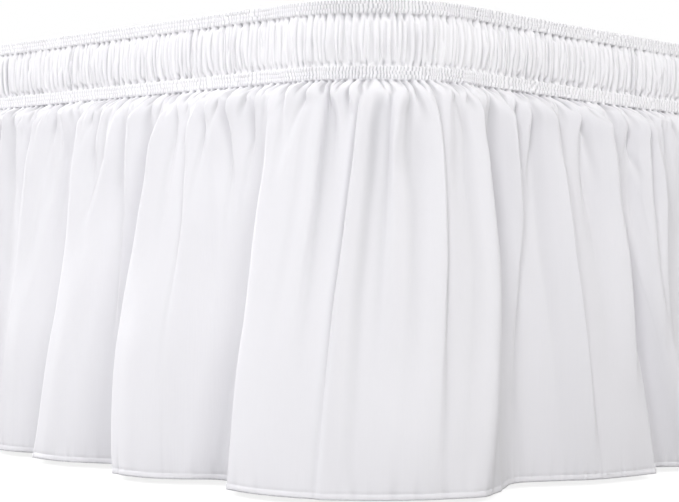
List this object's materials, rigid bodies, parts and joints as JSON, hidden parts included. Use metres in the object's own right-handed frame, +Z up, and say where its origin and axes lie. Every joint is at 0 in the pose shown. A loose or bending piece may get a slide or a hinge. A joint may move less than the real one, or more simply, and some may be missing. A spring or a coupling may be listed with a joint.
{
  "type": "bed skirt on a bed base",
  "caption": "Gathered wrap-around bed skirt, drawn in by two rows of elastic, hanging in loose folds round a plain bed base on legs.",
  "frame": {"origin": "on the floor, under the middle of the bed", "axes": "+Z up, +Y along the bed from its foot to its head, +X to the right seen from the foot"},
  "size_m": [1.104, 2.0409, 0.383],
  "materials": {
    "skirt_cloth": "brushed white microfibre with a faint sheen, finely gathered",
    "elastic": "woven white elastic",
    "base_cover": "plain pale woven upholstery",
    "leg_wood": "satin pale wood"
  },
  "bodies": {
    "root": {"skirt": "skirt_cloth", "elastic_upper": "elastic", "elastic_lower": "elastic", "bed_base": "base_cover", "leg_left_1": "leg_wood", "leg_left_2": "leg_wood", "leg_left_3": "leg_wood", "leg_right_1": "leg_wood", "leg_right_2": "leg_wood", "leg_right_3": "leg_wood"}
  },
  "joints": []
}
